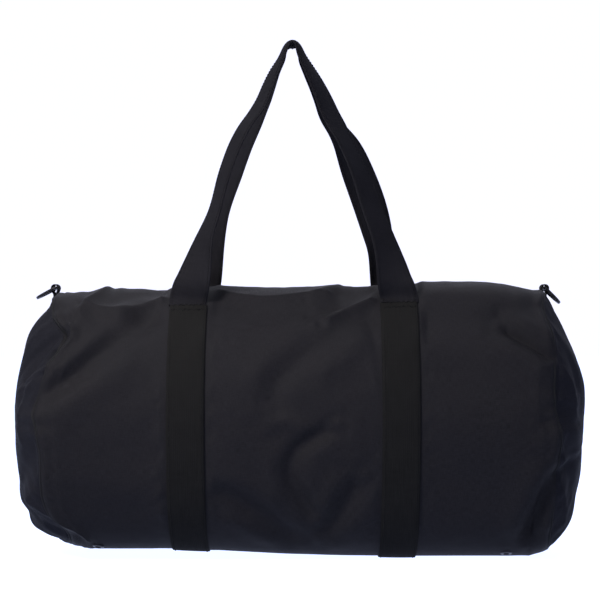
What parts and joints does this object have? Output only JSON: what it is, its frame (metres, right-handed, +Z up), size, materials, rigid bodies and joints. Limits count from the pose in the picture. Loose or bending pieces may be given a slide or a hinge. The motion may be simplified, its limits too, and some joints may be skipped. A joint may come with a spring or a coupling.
{
  "type": "duffel bag",
  "caption": "Soft barrel duffel bag with a zipped top opening, webbing straps around the body rising into carry handles, and a ring at each end.",
  "frame": {"origin": "on the ground under the middle of the bag, at the bottom centre of its bounding box", "axes": "+X along the bag to the end where the slider is parked, -Y to the front face in the picture, +Z up"},
  "size_m": [0.6, 0.2836, 0.542],
  "materials": {
    "shell_fabric": "matte",
    "webbing": "matte",
    "binding": "matte",
    "zipper_tape": "matte",
    "zipper_coil": "satin",
    "ring": "gloss",
    "hardware": "satin"
  },
  "bodies": {
    "bag": {"body_panel": "shell_fabric", "end_panel_left": "shell_fabric", "seam_binding_left": "binding", "strap_left": "webbing", "zipper_end_left": "zipper_tape", "zipper_stop_left": "hardware", "d_ring_tab_left": "webbing", "eyelet_left": "hardware", "end_panel_right": "shell_fabric", "seam_binding_right": "binding", "strap_right": "webbing", "zipper_end_right": "zipper_tape", "zipper_stop_right": "hardware", "d_ring_tab_right": "webbing", "eyelet_right": "hardware"},
    "lip_front": {"lip_front": "shell_fabric", "zipper_tape_front": "zipper_tape", "zipper_coil_front": "zipper_coil"},
    "handle_front_lower": {"handle_legs_front": "webbing"},
    "handle_front_upper": {"handle_loop_front": "webbing"},
    "lip_back": {"lip_back": "shell_fabric", "zipper_tape_back": "zipper_tape", "zipper_coil_back": "zipper_coil"},
    "handle_back_lower": {"handle_legs_back": "webbing"},
    "handle_back_upper": {"handle_loop_back": "webbing"},
    "slider": {"zipper_slider": "hardware"},
    "pull": {"zipper_pull": "hardware"},
    "d_ring_left": {"d_ring_left": "ring"},
    "d_ring_right": {"d_ring_right": "ring"}
  },
  "joints": [
    {"name": "lip_front_fold", "type": "hinge", "parent": "bag", "child": "lip_front", "pos_m": [0, -0.078, 0.27067], "axis": [1, 0, 0], "range_deg": [0, 55]},
    {"name": "handle_front_swing", "type": "hinge", "parent": "bag", "child": "handle_front_lower", "pos_m": [0, -0.08966, 0.2666], "axis": [1, 0, 0], "range_deg": [0, 125]},
    {"name": "handle_front_bend", "type": "hinge", "parent": "handle_front_lower", "child": "handle_front_upper", "pos_m": [0, -0.07539, 0.34962], "axis": [1, 0, 0], "range_deg": [0, 65]},
    {"name": "lip_back_fold", "type": "hinge", "parent": "bag", "child": "lip_back", "pos_m": [0, 0.078, 0.27067], "axis": [-1, 0, 0], "range_deg": [0, 55]},
    {"name": "handle_back_swing", "type": "hinge", "parent": "bag", "child": "handle_back_lower", "pos_m": [0, 0.08966, 0.2666], "axis": [-1, 0, 0], "range_deg": [0, 125]},
    {"name": "handle_back_bend", "type": "hinge", "parent": "handle_back_lower", "child": "handle_back_upper", "pos_m": [0, 0.07539, 0.34962], "axis": [-1, 0, 0], "range_deg": [0, 65]},
    {"name": "zipper_run", "type": "slide", "parent": "bag", "child": "slider", "axis": [1, 0, 0], "range_m": [-0.432, 0]},
    {"name": "pull_flip", "type": "hinge", "parent": "slider", "child": "pull", "pos_m": [0.2186, 0, 0.2767], "axis": [0, -1, 0], "range_deg": [0, 175]},
    {"name": "d_ring_left_swing", "type": "hinge", "parent": "bag", "child": "d_ring_left", "pos_m": [-0.258, 0, 0.2795], "axis": [0, 1, 0], "range_deg": [0, 115]},
    {"name": "d_ring_right_swing", "type": "hinge", "parent": "bag", "child": "d_ring_right", "pos_m": [0.258, 0, 0.2795], "axis": [0, -1, 0], "range_deg": [0, 131]}
  ],
  "couplings": [
    {"joint": "handle_front_bend", "follows": "handle_front_swing", "ratio": 0.52},
    {"joint": "handle_back_bend", "follows": "handle_back_swing", "ratio": 0.52}
  ]
}
